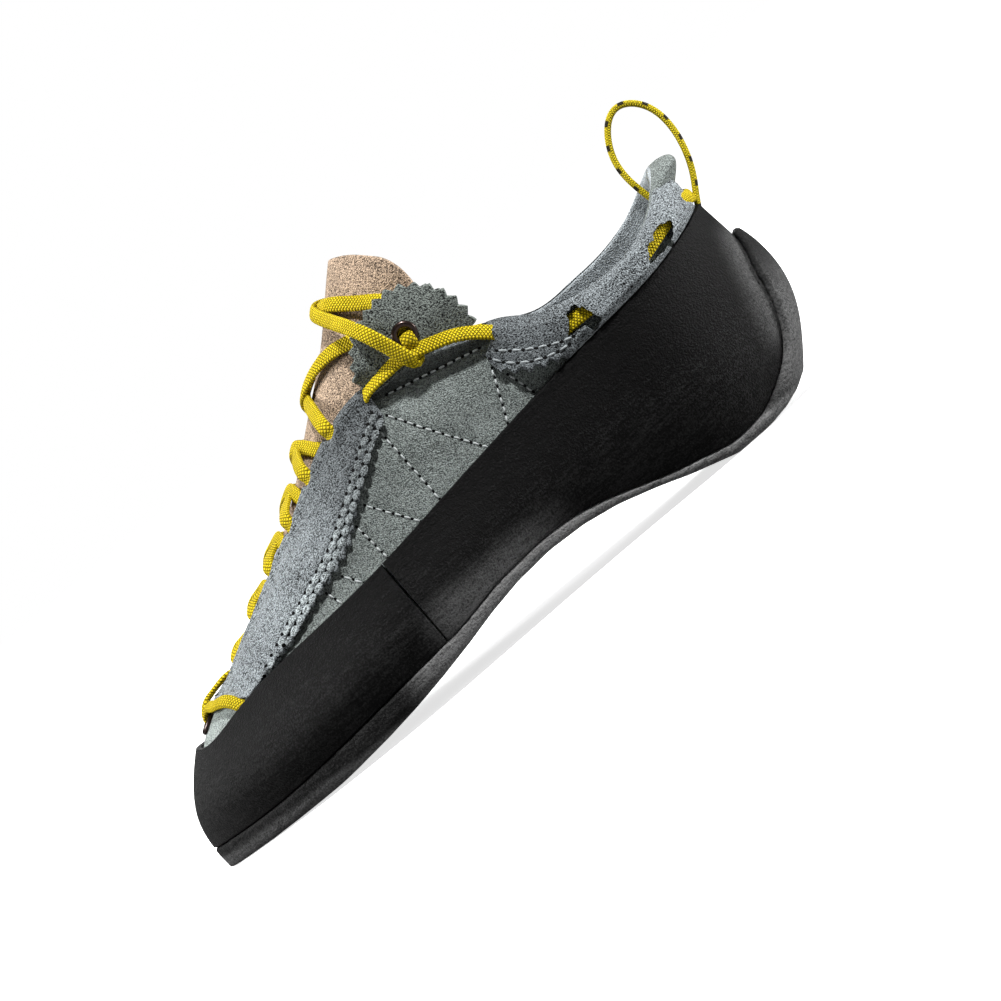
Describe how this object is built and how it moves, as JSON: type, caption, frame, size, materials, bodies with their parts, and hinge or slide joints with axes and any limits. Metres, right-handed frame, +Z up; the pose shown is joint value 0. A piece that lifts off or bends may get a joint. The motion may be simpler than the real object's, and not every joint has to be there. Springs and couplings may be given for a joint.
{
  "type": "climbing shoe",
  "caption": "Lace-up climbing shoe, left foot: suede upper with folded lacing edge, ankle wings and tan tongue, in a black rubber rand and a sole that rises at the arch and wraps the heel.",
  "frame": {"origin": "on the floor under the middle of the shoe's box", "axes": "+X towards the heel, +Y towards the inner side of the foot, +Z up"},
  "size_m": [0.249, 0.0864, 0.125],
  "materials": {
    "rubber": "matt black climbing rubber",
    "suede": "grey suede, short nap",
    "facing": "blue-grey suede, short nap",
    "tongue_suede": "tan suede, plain",
    "lace": "braided yellow lace",
    "eyelet": "dark burnished metal",
    "lining": "dark foot bed"
  },
  "bodies": {
    "root": {"outsole": "rubber", "toe_rand": "rubber", "heel_rand": "rubber", "upper": "suede", "eyestay_lateral": "facing", "eyestay_medial": "facing", "cuff_lateral": "facing", "cuff_medial": "facing", "wing_lateral": "facing", "wing_medial": "facing", "wing_eyelet_lateral": "eyelet", "wing_eyelet_medial": "eyelet", "toe_eyelet": "eyelet", "tongue": "tongue_suede", "insole": "lining", "lace_crossings": "lace", "lace_ankle": "lace", "lace_top_lateral": "lace", "lace_top_medial": "lace", "pull_loop": "lace"}
  },
  "joints": []
}
